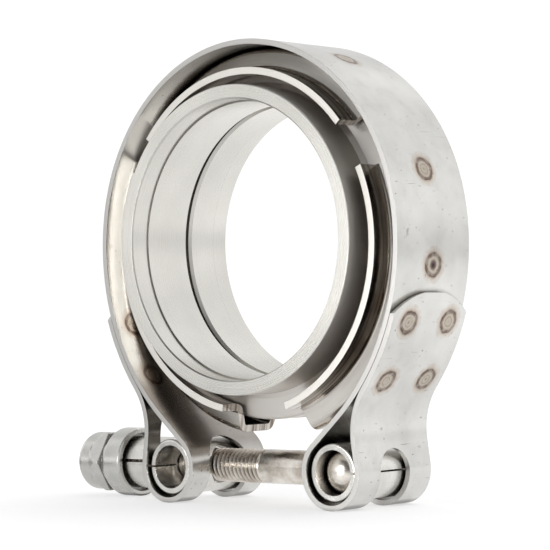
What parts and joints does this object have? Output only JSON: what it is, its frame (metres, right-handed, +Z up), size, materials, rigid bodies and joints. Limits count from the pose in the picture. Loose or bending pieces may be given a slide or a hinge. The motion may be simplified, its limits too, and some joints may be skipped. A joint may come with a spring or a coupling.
{
  "type": "v band clamp",
  "caption": "Round v band clamp: a sprung strap with a T-bolt and lock nut draws grooved retainers over a male and a female pipe flange.",
  "frame": {"origin": "on the pipe axis at the middle of the strap's width, which is the flanges' mating plane", "axes": "+Y along the pipe axis to the rear, +Z up from the bolt to the top of the ring, bolt along X with its nut at -X"},
  "size_m": [0.1081, 0.032, 0.106],
  "materials": {
    "strap_steel": "satin rolled stainless strip",
    "retainer_steel": "pressed stainless, bright",
    "flange_steel": "fine turned stainless",
    "sleeve_steel": "rolled stainless tube",
    "bolt_steel": "dull rolled-thread stainless",
    "nut_steel": "satin cold-formed stainless",
    "insert_nylon": "moulded nylon"
  },
  "bodies": {
    "clamp": {"band_strap": "strap_steel", "retainer_top": "retainer_steel", "retainer_right": "retainer_steel", "retainer_left": "retainer_steel", "head_trunnion_sleeve": "sleeve_steel", "nut_trunnion_sleeve": "sleeve_steel", "tee_bolt": "bolt_steel"},
    "front_flange": {"male_flange": "flange_steel"},
    "rear_flange": {"female_flange": "flange_steel"},
    "spacer": {"spacer_sleeve": "sleeve_steel"},
    "nut": {"flange_lock_nut": "nut_steel", "locking_insert": "insert_nylon"}
  },
  "joints": [
    {"name": "front_flange_turn", "type": "hinge", "parent": "clamp", "child": "front_flange", "pos_m": [0, 0, 0], "axis": [0, 1, 0], "continuous": true},
    {"name": "rear_flange_turn", "type": "hinge", "parent": "clamp", "child": "rear_flange", "pos_m": [0, 0, 0], "axis": [0, 1, 0], "continuous": true},
    {"name": "nut_travel", "type": "slide", "parent": "clamp", "child": "spacer", "axis": [-1, 0, 0], "range_m": [0, 0.012]},
    {"name": "nut_spin", "type": "hinge", "parent": "spacer", "child": "nut", "pos_m": [-0.05, 0, -0.0521], "axis": [-1, 0, 0], "range_deg": [0, 3456]}
  ],
  "couplings": [
    {"joint": "nut_travel", "follows": "nut_spin", "m_per_rad": 0.00019894}
  ]
}
